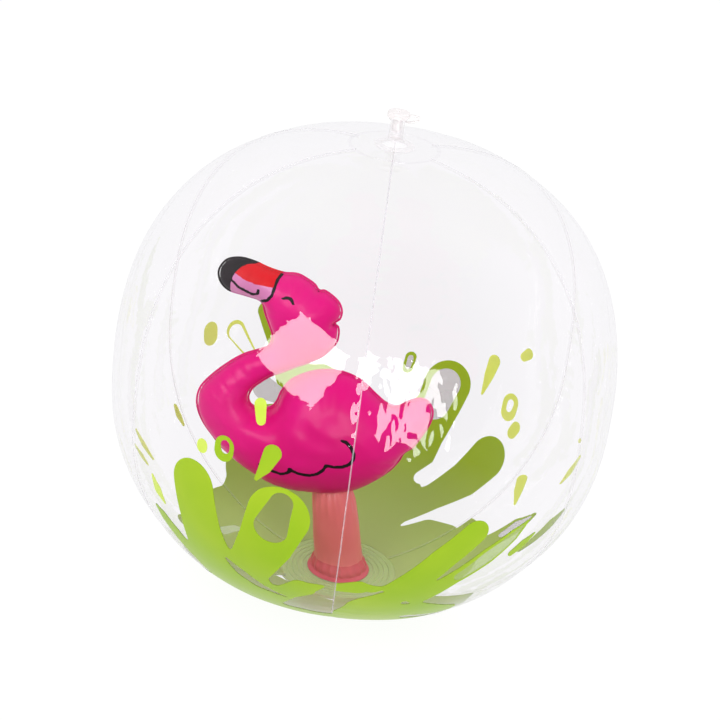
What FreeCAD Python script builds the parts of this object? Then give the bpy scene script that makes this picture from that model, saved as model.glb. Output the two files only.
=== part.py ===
import FreeCAD, Part
import math
import os
import re

import Sketcher

# Clear six-panel beach ball with an inflated flamingo standing inside it.
#
# Millimetres. +Z is up. The origin is the centre of the flat base disc that the ball stands on.
# The flamingo looks towards -X. Azimuth is counted from -Y towards +X.

Vector = FreeCAD.Vector
Rotation = FreeCAD.Rotation
Placement = FreeCAD.Placement

os.makedirs("parts", exist_ok=True)
doc = FreeCAD.newDocument("beach_ball")

# ---------------------------------------------------------------- driving dimensions
DIMENSIONS = [
    ("ball_radius", 165.0, "equator radius at the middle of a panel"),
    ("upper_rise", 169.0, "semi-axis above the equator plane"),
    ("lower_drop", 142.0, "semi-axis below the equator plane"),
    ("upper_power", 2.47, "exponent of the meridian above the equator, 2 is an ellipse"),
    ("lower_power", 2.18, "exponent of the meridian below the equator"),
    ("lobe_share", 0.022, "how far a seam lies inside a panel's middle, as a share"),
    ("panel_count", 6, "gores around the ball"),
    ("film", 0.3, "thickness of the film"),
    ("weld_half", 0.3, "half the width of a seam weld"),
    ("weld_fin", 2.5, "depth of the weld flange inside the ball"),
    ("weld_bead", 0.25, "how far a weld stands proud outside"),
    ("base_radius", 40.0, "where the panels end at the bottom"),
    ("crown_radius", 27.0, "where the panels end at the top"),
    ("lap", 2.5, "overlap of a disc and the panel ends"),
    ("slip", 0.05, "clearance between welded films"),
    ("rib_height", 0.5, "embossed rings on the base disc"),
    ("rib_width", 1.4, "foot of an embossed ring"),
    ("rib_pitch", 3.6, "distance from ring to ring"),
    ("rib_first", 25.0, "radius of the innermost ring"),
    ("mouth", 8.0, "radius of the valve openings"),
    ("flange_radius", 13.0, "valve flange"),
    ("flange_thick", 0.8, "valve flange"),
    ("web_wall", 0.5, "soft web between flange and stem"),
    ("web_end", 5.3, "outer radius of the web where it holds the stem"),
    ("web_rise", 5.5, "height of the top web when the valve is pulled out"),
    ("web_sink", 17.0, "depth of the base web when the valve is pushed in"),
    ("stem_length", 14.0, "valve stem"),
    ("stem_radius", 4.7, "valve stem outside"),
    ("bore_radius", 3.2, "valve stem inside"),
    ("stem_grip", 1.0, "length of stem that the web holds"),
    ("collar_radius", 6.0, "collar at the stem's mouth"),
    ("collar_thick", 1.5, "collar at the stem's mouth"),
    ("cap_radius", 7.0, "valve plug head"),
    ("cap_thick", 3.5, "valve plug head"),
    ("spigot_radius", 3.14, "valve plug spigot"),
    ("spigot_length", 9.0, "valve plug spigot"),
    ("flap_radius", 3.6, "check flap"),
    ("flap_thick", 0.4, "check flap"),
    ("strap_width", 3.0, "strap between plug and stem"),
    ("strap_thick", 0.8, "strap between plug and stem"),
    ("strap_gap", 0.35, "between the loose strap's end and the plug head"),
    ("strap_reach", 13.5, "how far the strap loop stands out from the axis"),
    ("leg_radius", 16.5, "tube leg of the flamingo"),
    ("foot_radius", 21.5, "flared foot welded to the base disc"),
    ("foot_height", 3.4, "flared foot"),
    ("leg_start", 6.2, "height where the free leg begins"),
    ("leg_end", 54.0, "height where the leg meets the flamingo"),
    ("body_long", 46.0, "semi-axis of the flamingo's body along X"),
    ("body_tall", 41.5, "semi-axis of the flamingo's body along Z"),
    ("body_wide", 27.0, "semi-axis of the flamingo's body along Y"),
    ("neck_radius", 17.0, "thickness of the flamingo's neck"),
    ("neck_curl", 38.0, "radius of the neck's curl"),
    ("head_long", 27.0, "semi-axis of the head"),
    ("head_tall", 23.0, "semi-axis of the head"),
    ("head_wide", 18.0, "semi-axis of the head"),
    ("beak_long", 26.0, "semi-axis of the beak"),
    ("beak_thick", 12.0, "semi-axis of the beak"),
    ("tail_long", 22.0, "semi-axis of the tail"),
    ("tail_thick", 14.0, "semi-axis of the tail"),
]

sheet = doc.addObject("Spreadsheet::Sheet", "dims")
for row, (alias, number, note) in enumerate(DIMENSIONS, start=1):
    sheet.set("A%d" % row, alias)
    sheet.set("B%d" % row, str(number))
    sheet.set("C%d" % row, note)
    sheet.setAlias("B%d" % row, alias)
doc.recompute()


def size(alias):
    """The number in one cell of the sheet."""
    return float(getattr(sheet, alias))


def bound(text):
    """An expression on the sheet: every alias in it gets the sheet's name in front."""
    return re.sub(r"[a-z_]+", lambda word: "dims." + word.group(0), text)


# ---------------------------------------------------------------- places worked out from the sheet
def half_chord(semi_axis, power, radius):
    """Height of the meridian above or below the equator plane at a radius."""
    share = 1.0 - (radius / size("ball_radius")) ** power
    return semi_axis * share ** (1.0 / power)


def height_above(radius):
    return half_chord(size("upper_rise"), size("upper_power"), radius)


def depth_below(radius):
    return half_chord(size("lower_drop"), size("lower_power"), radius)


END_HEIGHT = size("film") + size("slip")
EQUATOR = depth_below(size("base_radius")) + END_HEIGHT
CROWN_END = EQUATOR + height_above(size("crown_radius"))
CROWN_TOP = EQUATOR + size("upper_rise") + size("slip") + size("film")
HALF_PANEL = math.pi / size("panel_count")


# ---------------------------------------------------------------- small helpers
def origin_plane(body, role):
    """One of a body's own origin planes."""
    for feature in body.Origin.OriginFeatures:
        if feature.Role == role:
            return feature
    raise LookupError(role)


def corner(sketch, line, expressions):
    """Ties the start of one line of a sketch to a radius and a height on the sheet."""
    for kind, expression in zip(("DistanceX", "DistanceY"), expressions):
        if expression == "0":
            sketch.addConstraint(Sketcher.Constraint("PointOnObject", line, 1, -1))
            continue
        point = sketch.getPoint(line, 1)
        value = point.x if kind == "DistanceX" else point.y
        index = sketch.addConstraint(Sketcher.Constraint(kind, -1, 1, line, 1, value))
        sketch.setExpression("Constraints[%d]" % index, expression)


def turned(name, profile):
    """A PartDesign body revolved about Z. The profile is a closed list of (radius, height) texts."""
    body = doc.addObject("PartDesign::Body", name)
    sketch = body.newObject("Sketcher::SketchObject", name + "_profile")
    sketch.AttachmentSupport = [(origin_plane(body, "XZ_Plane"), "")]
    sketch.MapMode = "FlatFace"
    texts = [(bound(r), bound(z)) for r, z in profile]
    points = [
        Vector(float(sheet.evalExpression(r)), float(sheet.evalExpression(z)), 0)
        for r, z in texts
    ]
    for start, end in zip(points, points[1:] + points[:1]):
        sketch.addGeometry(Part.LineSegment(start, end), False)
    count = len(points)
    for line in range(count):
        following = (line + 1) % count
        sketch.addConstraint(Sketcher.Constraint("Coincident", line, 2, following, 1))
    for line in range(count):
        corner(sketch, line, texts[line])
    revolution = body.newObject("PartDesign::Revolution", name + "_turn")
    revolution.Profile = sketch
    revolution.ReferenceAxis = (sketch, ["V_Axis"])
    revolution.Angle = 360
    body.Tip = revolution
    body.Label = name
    return body


def primitive(kind, name, **expressions):
    """A Part primitive whose properties are bound to the sheet."""
    made = doc.addObject("Part::" + kind, name)
    for prop, expression in expressions.items():
        made.setExpression(prop, bound(expression))
    made.Label = name
    return made


def cut(name, base, tool):
    made = doc.addObject("Part::Cut", name)
    made.Base = base
    made.Tool = tool
    made.Label = name
    return made


def common(name, base, tool):
    made = doc.addObject("Part::Common", name)
    made.Base = base
    made.Tool = tool
    made.Label = name
    return made


# ---------------------------------------------------------------- ball film
def meridian(latitude):
    """(radius, height above the equator plane) of a panel's middle line at a polar angle."""
    rise, power = size("lower_drop"), size("lower_power")
    if latitude > 0:
        rise, power = size("upper_rise"), size("upper_power")
    across = abs(math.cos(latitude)) / size("ball_radius")
    along = abs(math.sin(latitude)) / rise
    reach = (across**power + along**power) ** (-1.0 / power)
    return reach * math.cos(latitude), reach * math.sin(latitude)


def film_point(latitude, turn):
    """A point of the ball's outer skin, with turn counted from the panel's middle line."""
    radius, height = meridian(latitude)
    dip = size("lobe_share") * math.cos(latitude) * (turn / HALF_PANEL) ** 2
    radius *= 1.0 - dip
    return Vector(radius * math.sin(turn), -radius * math.cos(turn), EQUATOR + height)


def film_normal(latitude, turn):
    """Outward direction of the skin, by small differences."""
    step = 1e-4
    along = film_point(latitude + step, turn) - film_point(latitude - step, turn)
    around = film_point(latitude, turn + step) - film_point(latitude, turn - step)
    return around.cross(along).normalize()


def end_latitudes():
    """Polar angles at which a panel starts at the base disc and ends at the crown disc."""
    low = math.atan2(END_HEIGHT - EQUATOR, size("base_radius"))
    high = math.atan2(CROWN_END - EQUATOR, size("crown_radius"))
    return low, high


PANEL_ROWS = 18
PANEL_COLUMNS = 8


def latitudes():
    low, high = end_latitudes()
    return [low + (high - low) * i / PANEL_ROWS for i in range(PANEL_ROWS + 1)]


def on_side_plane(point, side):
    """The point moved square on to the plane that bounds the panel on one side."""
    normal = Vector(side * math.cos(HALF_PANEL), math.sin(HALF_PANEL), 0)
    return point - normal * (point.dot(normal) + size("weld_half"))


def skin(depth):
    """A spline surface of one panel, lying depth below the outer skin."""
    rows = []
    for latitude in latitudes():
        radius = meridian(latitude)[0]
        edge_turn = HALF_PANEL - math.asin(size("weld_half") / radius)
        row = []
        for j in range(PANEL_COLUMNS + 1):
            turn = edge_turn * (2.0 * j / PANEL_COLUMNS - 1.0)
            point = film_point(latitude, turn) - film_normal(latitude, turn) * depth
            if j == 0:
                point = on_side_plane(point, -1)
            if j == PANEL_COLUMNS:
                point = on_side_plane(point, 1)
            row.append(point)
        rows.append(row)
    surface = Part.BSplineSurface()
    surface.interpolate(rows)
    return surface


def border(surface):
    """The four border curves of a surface, as edges."""
    first_u, last_u, first_v, last_v = surface.bounds()
    curves = [
        surface.vIso(first_v),
        surface.vIso(last_v),
        surface.uIso(first_u),
        surface.uIso(last_u),
    ]
    return [curve.toShape() for curve in curves]


def panel_shape():
    """One gore as a closed solid: outer skin, inner skin and four narrow walls."""
    outer = skin(0.0)
    inner = skin(size("film"))
    faces = [outer.toShape(), inner.toShape()]
    for near, far in zip(border(outer), border(inner)):
        faces.append(Part.makeRuledSurface(near, far))
    shell = Part.makeShell(faces)
    shell.sewShape()
    solid = Part.makeSolid(Part.Shell(shell.Faces))
    if solid.Volume < 0:
        solid.reverse()
    return solid


PANELS = {
    "panel_front_right": 30,
    "panel_right": 90,
    "panel_rear_right": 150,
    "panel_rear_left": 210,
    "panel_left": 270,
    "panel_front_left": 330,
}


def make_panels():
    shape = panel_shape()
    made = []
    for name, azimuth in PANELS.items():
        panel = doc.addObject("Part::Feature", name)
        panel.Shape = shape
        panel.Placement = Placement(Vector(0, 0, 0), Rotation(Vector(0, 0, 1), azimuth))
        panel.Label = name
        made.append(panel)
    return made


def seam_outline():
    """Closed outline of a weld in its own plane, from the bead outside to the flange inside."""
    outside, inside = [], []
    for latitude in latitudes():
        skin_point = film_point(latitude, HALF_PANEL)
        radius = math.hypot(skin_point.x, skin_point.y)
        normal = film_normal(latitude, HALF_PANEL)
        lean = math.hypot(normal.x, normal.y)
        proud = size("weld_bead")
        deep = -size("weld_fin")
        for line, shift in ((outside, proud), (inside, deep)):
            height = max(skin_point.z + normal.z * shift, END_HEIGHT)
            line.append(Vector(0, -(radius + lean * shift), height))
    edges = []
    for line in (outside, inside):
        curve = Part.BSplineCurve()
        curve.interpolate(line)
        edges.append(curve.toShape())
    edges.append(Part.makeLine(outside[0], inside[0]))
    edges.append(Part.makeLine(outside[-1], inside[-1]))
    return Part.Wire(Part.__sortEdges__(edges))


SEAMS = {
    "seam_front": 0,
    "seam_front_right": 60,
    "seam_rear_right": 120,
    "seam_rear": 180,
    "seam_rear_left": 240,
    "seam_front_left": 300,
}


def make_seams():
    made = []
    outline = doc.addObject("Part::Feature", "weld_outline")
    outline.Shape = seam_outline()
    for name, azimuth in SEAMS.items():
        seam = doc.addObject("Part::Extrusion", name)
        seam.Base = outline
        seam.DirMode = "Custom"
        seam.Dir = Vector(1, 0, 0)
        seam.Solid = True
        seam.Symmetric = True
        seam.setExpression("LengthFwd", bound("2 * weld_half - slip / 2"))
        seam.Placement = Placement(Vector(0, 0, 0), Rotation(Vector(0, 0, 1), azimuth))
        seam.Label = name
        made.append(seam)
    return made


# ---------------------------------------------------------------- end discs
RIBS = 4


def make_base_disc():
    """Flat disc with the valve opening and embossed rings on its inner face."""
    profile = [("mouth", "0"), ("base_radius + lap", "0"), ("base_radius + lap", "film")]
    for k in reversed(range(RIBS)):
        middle = "rib_first + %d * rib_pitch" % k
        profile.append((middle + " + rib_width / 2", "film"))
        profile.append((middle + " + rib_width / 4", "film + rib_height"))
        profile.append((middle + " - rib_width / 4", "film + rib_height"))
        profile.append((middle + " - rib_width / 2", "film"))
    profile.append(("mouth", "film"))
    return turned("base_disc", profile)


def make_crown_disc():
    """Shallow dome over the panel ends, cut from two spheres, with the valve opening."""
    rim = size("crown_radius") + size("lap")
    sag = size("upper_rise") - height_above(rim)
    dome_radius = (rim**2 + sag**2) / (2 * sag)
    outside = primitive("Sphere", "crown_outside")
    outside.Radius = dome_radius
    outside.Placement.Base = Vector(0, 0, CROWN_TOP - dome_radius)
    inside = primitive("Sphere", "crown_inside")
    inside.Radius = dome_radius - size("film")
    inside.Placement.Base = outside.Placement.Base
    blank = primitive("Cylinder", "crown_blank", Radius="crown_radius + lap", Height="upper_rise")
    blank.Placement.Base = Vector(0, 0, EQUATOR)
    opening = primitive("Cylinder", "crown_opening", Radius="mouth", Height="2 * upper_rise")
    opening.Placement.Base = Vector(0, 0, EQUATOR)
    dome = common("crown_dome", cut("crown_shell", outside, inside), blank)
    return cut("crown_disc", dome, opening)


# ---------------------------------------------------------------- valves
def ribbon(name, points):
    """A strap swept along a smooth line in the XZ plane, from a slice of its own width."""
    curve = Part.BSplineCurve()
    curve.interpolate(points)
    spine = doc.addObject("Part::Feature", name + "_line")
    spine.Shape = Part.Wire([curve.toShape()])
    slice_ = primitive("Plane", name + "_slice", Length="strap_thick", Width="strap_width")
    half = Vector(-size("strap_thick") / 2, -size("strap_width") / 2, 0)
    tangent = curve.tangent(curve.FirstParameter)[0]
    turn = Rotation(Vector(0, 0, 1), tangent)
    slice_.Placement = Placement(points[0] + turn.multVec(half), turn)
    strap = doc.addObject("Part::Sweep", name)
    strap.Sections = [slice_]
    strap.Spine = (spine, [])
    strap.Solid = True
    strap.Frenet = False
    strap.Label = name
    return strap


def loose_strap():
    """Strap of a pulled-out valve: a loop that stands out beside the plug as its pull tab."""
    head = size("stem_length") + size("cap_thick") / 2
    neck = size("stem_length") - size("collar_thick") - size("strap_thick")
    reach = size("strap_reach")
    return [
        Vector(size("cap_radius") + size("strap_gap"), 0, head),
        Vector(reach - 1.5, 0, head - 0.3),
        Vector(reach, 0, head - 2.0),
        Vector(reach - 2.0, 0, neck + 0.6),
        Vector(size("stem_radius") + 2.4, 0, neck),
        Vector(size("stem_radius") + size("slip"), 0, neck),
    ]


def tucked_strap():
    """Strap of a pushed-in valve: folded close to the stem, inside the web."""
    beside = (size("collar_radius") + size("cap_radius")) / 2 + 0.1
    neck = size("stem_length") - size("collar_thick") - size("strap_thick")
    return [
        Vector(beside, 0, size("stem_length")),
        Vector(beside, 0, neck + 1.0),
        Vector(beside - 0.6, 0, neck - 0.2),
        Vector(size("stem_radius") + size("slip"), 0, neck - 0.4),
    ]


def make_valve(where, place, web_profile, seat, strap_line):
    """Flange, web, stem, plug, check flap and strap. The stem's inner end is at the place."""
    flange = turned(
        where + "_valve_flange",
        [("mouth + slip", "0"), ("flange_radius", "0"), ("flange_radius - 1", "flange_thick"),
         ("mouth + slip", "flange_thick")],
    )
    flange.Placement = seat
    web = turned(where + "_valve_web", web_profile)
    web.Placement = seat
    stem = turned(
        where + "_valve_stem",
        [("bore_radius", "0"), ("stem_radius", "0"), ("stem_radius", "stem_length - collar_thick"),
         ("collar_radius", "stem_length - collar_thick"), ("collar_radius", "stem_length"),
         ("bore_radius", "stem_length")],
    )
    stem.Placement = place
    plug = turned(
        where + "_valve_plug",
        [("bore_radius / 4", "stem_length + slip - spigot_length"),
         ("spigot_radius - 0.4", "stem_length + slip - spigot_length"),
         ("spigot_radius", "stem_length + slip + 1 - spigot_length"),
         ("spigot_radius", "stem_length + slip"), ("cap_radius", "stem_length + slip"),
         ("cap_radius", "stem_length + cap_thick - 0.6"),
         ("cap_radius - 0.6", "stem_length + cap_thick"),
         ("bore_radius / 4", "stem_length + cap_thick")],
    )
    plug.Placement = place
    flap = primitive("Cylinder", where + "_check_flap", Radius="flap_radius", Height="flap_thick")
    drop = Vector(0, 0, -size("flap_thick") - size("slip"))
    flap.Placement = place.multiply(Placement(drop, Rotation()))
    strap = ribbon(where + "_valve_strap", strap_line)
    strap.Placement = place
    return [flange, web, stem, plug, flap, strap]


def make_top_valve():
    """Pulled out: the stem stands on the raised web."""
    flange_height = CROWN_TOP + size("slip")
    stem_height = flange_height + size("web_rise") - size("stem_grip")
    upright = Placement(Vector(0, 0, stem_height), Rotation())
    seat = Placement(Vector(0, 0, flange_height), Rotation())
    raised_web = [
        ("mouth - web_wall", "0"),
        ("mouth", "0"),
        ("web_end", "web_rise"),
        ("web_end - web_wall", "web_rise"),
    ]
    return make_valve("top", upright, raised_web, seat, loose_strap())


def make_base_valve():
    """Pushed in: the stem points down inside the leg and the plug lies above the floor."""
    seat = Placement(Vector(0, 0, END_HEIGHT), Rotation())
    inner_end = END_HEIGHT + size("web_sink") + size("stem_grip")
    inverted = Placement(Vector(0, 0, inner_end), Rotation(Vector(1, 0, 0), 180))
    sunk_web = [
        ("mouth - web_wall", "0"),
        ("mouth", "0"),
        ("mouth", "web_sink"),
        ("web_end - web_wall", "web_sink"),
        ("web_end - web_wall", "web_sink - web_wall"),
        ("mouth - web_wall", "web_sink - web_wall"),
    ]
    return make_valve("base", inverted, sunk_web, seat, tucked_strap())


# ---------------------------------------------------------------- flamingo
def make_leg():
    foot = turned(
        "leg_foot",
        [("leg_radius - film", "film + slip"), ("foot_radius", "film + slip"),
         ("foot_radius", "2 * film + slip"), ("leg_radius", "foot_height"),
         ("leg_radius - film", "foot_height")],
    )
    tube = turned(
        "leg_tube",
        [("leg_radius - film", "leg_start"), ("leg_radius", "leg_start"),
         ("leg_radius", "leg_end"), ("leg_radius - film", "leg_end")],
    )
    return [foot, tube]


# name: centre x, centre z, tilt about Y, then the aliases of the three semi-axes
BLOBS = {
    "body": (-13.5, 98.8, 0, "body_long", "body_wide", "body_tall"),
    "head": (-43, 188, 35, "head_long", "head_wide", "head_tall"),
    "beak": (-80, 207, 8, "beak_long", "beak_thick", "beak_thick"),
    "tail": (31, 118, -38, "tail_long", "tail_thick", "tail_thick"),
}
NECK_CENTRE = Vector(-52, 0, 113)


def blob(name, inset):
    """An ellipsoid of the flamingo, inset by a number of film thicknesses."""
    centre_x, centre_z, tilt, along, across, upward = BLOBS[name]
    less = " - %d * film" % inset
    made = primitive(
        "Ellipsoid",
        "%s_solid_%d" % (name, inset),
        Radius1=upward + less,
        Radius2=along + less,
        Radius3=across + less,
    )
    made.Placement = Placement(Vector(centre_x, 0, centre_z), Rotation(Vector(0, 1, 0), tilt))
    return made


def neck_ring(inset):
    """The neck's curl: a ring in the weld plane that runs from the head round to the breast."""
    thickness = "neck_radius - %d * film" % inset
    name = "neck_solid_%d" % inset
    made = primitive("Torus", name, Radius1="neck_curl", Radius2=thickness)
    made.Placement = Placement(NECK_CENTRE, Rotation(Vector(1, 0, 0), 90))
    return made


def hollow(name, make, taken):
    """A film round one part of the figure, without the room that its neighbours take."""
    film = cut(name + "_film", make(0), make(1))
    for other in taken:
        film = cut(film.Name + "_less_" + other.Name, film, other)
    return film


def make_bird():
    """Left sheet: the films of body, neck, head, beak and tail on one side of the weld plane."""
    body, head = blob("body", 0), blob("head", 0)
    leg_opening = primitive(
        "Cylinder", "leg_opening", Radius="leg_radius - 3", Height="leg_end + 20"
    )
    films = [
        hollow("bird_body", lambda inset: blob("body", inset), [leg_opening]),
        hollow("bird_head", lambda inset: blob("head", inset), []),
        hollow("bird_beak", lambda inset: blob("beak", inset), [head]),
        hollow("bird_tail", lambda inset: blob("tail", inset), [body]),
        hollow("bird_neck", neck_ring, [body, head]),
    ]
    halves = []
    for film in films:
        room = primitive(
            "Box",
            film.Name + "_room",
            Length="2 * ball_radius",
            Width="ball_radius",
            Height="2 * ball_radius",
        )
        room.Placement.Base = Vector(-size("ball_radius"), -size("ball_radius") - size("slip"), 0)
        halves.append(common(film.Name + "_left", film, room))
    left = doc.addObject("Part::Compound", "bird_left_sheet")
    left.Links = halves
    left.Label = "bird_left_sheet"
    right = doc.addObject("Part::Mirroring", "bird_right_sheet")
    right.Source = left
    right.Normal = Vector(0, 1, 0)
    right.Label = "bird_right_sheet"
    return [left, right]


# ---------------------------------------------------------------- build, check and write
subparts = make_panels() + make_seams()
subparts += [make_base_disc(), make_crown_disc()]
subparts += make_top_valve() + make_base_valve()
subparts += make_leg() + make_bird()
doc.recompute()

for item in doc.Objects:
    if "Invalid" in item.State or "Error" in item.State:
        raise RuntimeError("%s: %s" % (item.Name, item.State))

for item in subparts:
    shape = item.Shape
    if shape.isNull() or not shape.isValid():
        raise RuntimeError("%s has no valid shape" % item.Label)
    if shape.Volume <= 0:
        raise RuntimeError("%s has no volume" % item.Label)
    shape.exportStep("parts/%s.step" % item.Label)
    print("%-20s %9.1f mm3  solids %d" % (item.Label, shape.Volume, len(shape.Solids)))
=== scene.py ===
import math

import bpy
import numpy as np
from mathutils import Matrix, Quaternion, Vector


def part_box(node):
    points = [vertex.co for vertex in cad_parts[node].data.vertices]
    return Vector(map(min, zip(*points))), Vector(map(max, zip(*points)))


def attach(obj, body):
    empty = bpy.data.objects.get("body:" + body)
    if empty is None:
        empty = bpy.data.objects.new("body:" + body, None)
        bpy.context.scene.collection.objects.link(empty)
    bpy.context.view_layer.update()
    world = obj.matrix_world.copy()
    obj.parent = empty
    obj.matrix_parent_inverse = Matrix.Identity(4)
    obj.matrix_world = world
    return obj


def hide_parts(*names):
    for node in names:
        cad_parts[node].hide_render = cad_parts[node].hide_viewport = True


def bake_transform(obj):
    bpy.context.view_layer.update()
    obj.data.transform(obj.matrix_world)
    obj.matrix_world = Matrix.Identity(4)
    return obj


# Clear six-panel beach ball with an inflated flamingo inside it: the looks, round the CAD frame.
# Lengths are in millimetres in the part geometry and in metres in Blender.

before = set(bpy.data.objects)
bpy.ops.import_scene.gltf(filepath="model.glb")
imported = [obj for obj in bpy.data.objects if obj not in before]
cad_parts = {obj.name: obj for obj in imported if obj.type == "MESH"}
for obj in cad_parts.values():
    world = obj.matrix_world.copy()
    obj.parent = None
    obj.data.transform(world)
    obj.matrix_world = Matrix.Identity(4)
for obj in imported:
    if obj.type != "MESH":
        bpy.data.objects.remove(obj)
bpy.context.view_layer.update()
MM = 0.001

# ---------- form of the ball
# The radius and the foot come from the frame. The others repeat the design's own dimensions.
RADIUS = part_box("panel_right")[1].x / MM
PANEL_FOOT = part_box("panel_right")[0].z / MM
BASE_RADIUS = 40.0
CROWN_RADIUS = 27.0
UPPER_RISE = 169.0
LOWER_DROP = 142.0
UPPER_POWER = 2.47
LOWER_POWER = 2.18
LOBE_SHARE = 0.022
HALF_PANEL_DEGREES = 30
HALF_PANEL = math.radians(HALF_PANEL_DEGREES)
EQUATOR = PANEL_FOOT + LOWER_DROP * (
    1 - (BASE_RADIUS / RADIUS) ** LOWER_POWER) ** (1 / LOWER_POWER)
PANELS = {
    "front_right": 30, "right": 90, "rear_right": 150,
    "rear_left": 210, "left": 270, "front_left": 330,
}
SEAMS = {
    "seam_front": 0, "seam_front_right": 60, "seam_rear_right": 120,
    "seam_rear": 180, "seam_rear_left": 240, "seam_front_left": 300,
}


# ---------- film of the ball
def meridian(lat):
    """(radius, height above the equator) of a panel's middle line at polar angles."""
    rise = np.where(lat > 0, UPPER_RISE, LOWER_DROP)
    power = np.where(lat > 0, UPPER_POWER, LOWER_POWER)
    across = np.abs(np.cos(lat)) / RADIUS
    along = np.abs(np.sin(lat)) / rise
    reach = (across**power + along**power) ** (-1.0 / power)
    return reach * np.cos(lat), reach * np.sin(lat)


def smooth_point(lat, turn):
    radius, height = meridian(lat)
    radius = radius * (1 - LOBE_SHARE * np.cos(lat) * (turn / HALF_PANEL) ** 2)
    return np.stack([radius * np.sin(turn), -radius * np.cos(turn), EQUATOR + height], -1)


def skin_normal(lat, turn):
    step = 1e-4
    along = smooth_point(lat + step, turn) - smooth_point(lat - step, turn)
    around = smooth_point(lat, turn + step) - smooth_point(lat, turn - step)
    normal = np.cross(around, along)
    return normal / np.linalg.norm(normal, axis=-1, keepdims=True)


PUCKER = 0.10
PUCKER_LENGTH = 9.0
SECOND_PUCKER = 0.6
SECOND_LENGTH = PUCKER_LENGTH * 1.73
PUCKER_REACH = 9.0
PUCKER_START = 1.5
OTHER_SIDE_PHASE = 1.7
SLACK = 0.16
SLACK_START = 12.0


def puckers(lat, turn, phase):
    """Small waves that the weld leaves beside a seam, and the film's slow waves."""
    along = RADIUS * lat
    gap = RADIUS * np.cos(lat) * (HALF_PANEL - np.abs(turn))
    side = np.where(turn > 0, OTHER_SIDE_PHASE, 0.0)
    wave = np.sin(2 * math.pi * along / PUCKER_LENGTH + side + phase)
    wave += SECOND_PUCKER * np.sin(
        2 * math.pi * along / SECOND_LENGTH + 2.1 * side + phase * 1.9)
    near = np.exp(-gap / PUCKER_REACH) * np.clip(gap / PUCKER_START, 0, 1)
    slow = np.sin(along / 17.0 + turn * 4.0 + phase) * np.sin(turn * 9.0 - along / 31.0)
    inner = np.clip(gap / SLACK_START, 0, 1)
    return PUCKER * near * wave + SLACK * inner * slow


def film_at(lat, turn, azimuth, lift=0.0):
    """Points of a panel's skin in metres, lifted outwards by lift millimetres."""
    phase = math.radians(azimuth) * 2.3
    normal = skin_normal(lat, turn)
    points = smooth_point(lat, turn) + normal * (puckers(lat, turn, phase) + lift)[..., None]
    a = math.radians(azimuth)
    spin = np.array([[math.cos(a), -math.sin(a), 0], [math.sin(a), math.cos(a), 0], [0, 0, 1]])
    return points @ spin.T * MM


LOW_END = math.atan2(PANEL_FOOT - EQUATOR, BASE_RADIUS)
HIGH_END = math.atan2(
    UPPER_RISE * (1 - (CROWN_RADIUS / RADIUS) ** UPPER_POWER) ** (1 / UPPER_POWER), CROWN_RADIUS)


# ---------- mesh helpers
FAR_OUTSIDE = -1e3
FILLET_SHRINK = 0.15
ON_LINE = 0.02


def make_mesh(name, points, faces, materials, indices=None, smooth=True):
    mesh = bpy.data.meshes.new(name)
    mesh.from_pydata([tuple(p) for p in points], [], faces)
    for material in materials:
        mesh.materials.append(material)
    if indices is not None:
        mesh.polygons.foreach_set("material_index", indices)
    mesh.polygons.foreach_set("use_smooth", [smooth] * len(mesh.polygons))
    mesh.update()
    obj = bpy.data.objects.new(name, mesh)
    bpy.context.scene.collection.objects.link(obj)
    return obj


def grid_faces(rows, columns, closed=False):
    """Quads of a grid of points, row by row. A closed grid joins its last column to its first."""
    faces = []
    last = columns if closed else columns - 1
    for i in range(rows - 1):
        for j in range(last):
            k = (j + 1) % columns
            faces.append((i * columns + j, i * columns + k,
                          (i + 1) * columns + k, (i + 1) * columns + j))
    return faces


def stroke(nodes, x, y):
    """Field of a tapered stroke through (x, y, radius) nodes: positive inside, in millimetres."""
    best = np.full(x.shape, FAR_OUTSIDE)
    for (x0, y0, r0), (x1, y1, r1) in zip(nodes, nodes[1:] or nodes):
        dx, dy = x1 - x0, y1 - y0
        squared = max(dx * dx + dy * dy, 1e-6)
        t = np.clip(((x - x0) * dx + (y - y0) * dy) / squared, 0, 1)
        best = np.maximum(best, r0 + (r1 - r0) * t - np.hypot(x - x0 - t * dx, y - y0 - t * dy))
    return best


def joined(strokes, x, y, soft):
    """Union of strokes with fillets where they meet, larger for a larger soft."""
    if not strokes:
        return np.full(x.shape, FAR_OUTSIDE)
    fields = np.stack([stroke(s, x, y) for s in strokes])
    top = fields.max(0)
    return top + soft * np.log(np.exp((fields - top) / soft).sum(0)) - FILLET_SHRINK * soft


def outline_field(outline, x, y):
    """Signed distance to a closed outline: positive inside."""
    start = np.array(outline, float)
    end = np.roll(start, -1, 0)
    px, py = x[..., None], y[..., None]
    dx, dy = (end - start).T
    t = np.clip(((px - start[:, 0]) * dx + (py - start[:, 1]) * dy)
                / np.maximum(dx * dx + dy * dy, 1e-9), 0, 1)
    distance = np.hypot(px - start[:, 0] - t * dx, py - start[:, 1] - t * dy).min(-1)
    above = (start[:, 1] > py) != (end[:, 1] > py)
    safe = np.where(dy == 0, 1e-9, dy)
    crossing = px < start[:, 0] + dx * (py - start[:, 1]) / safe
    inside = (above & crossing).sum(-1) % 2 == 1
    return np.where(inside, distance, -distance)


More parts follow.
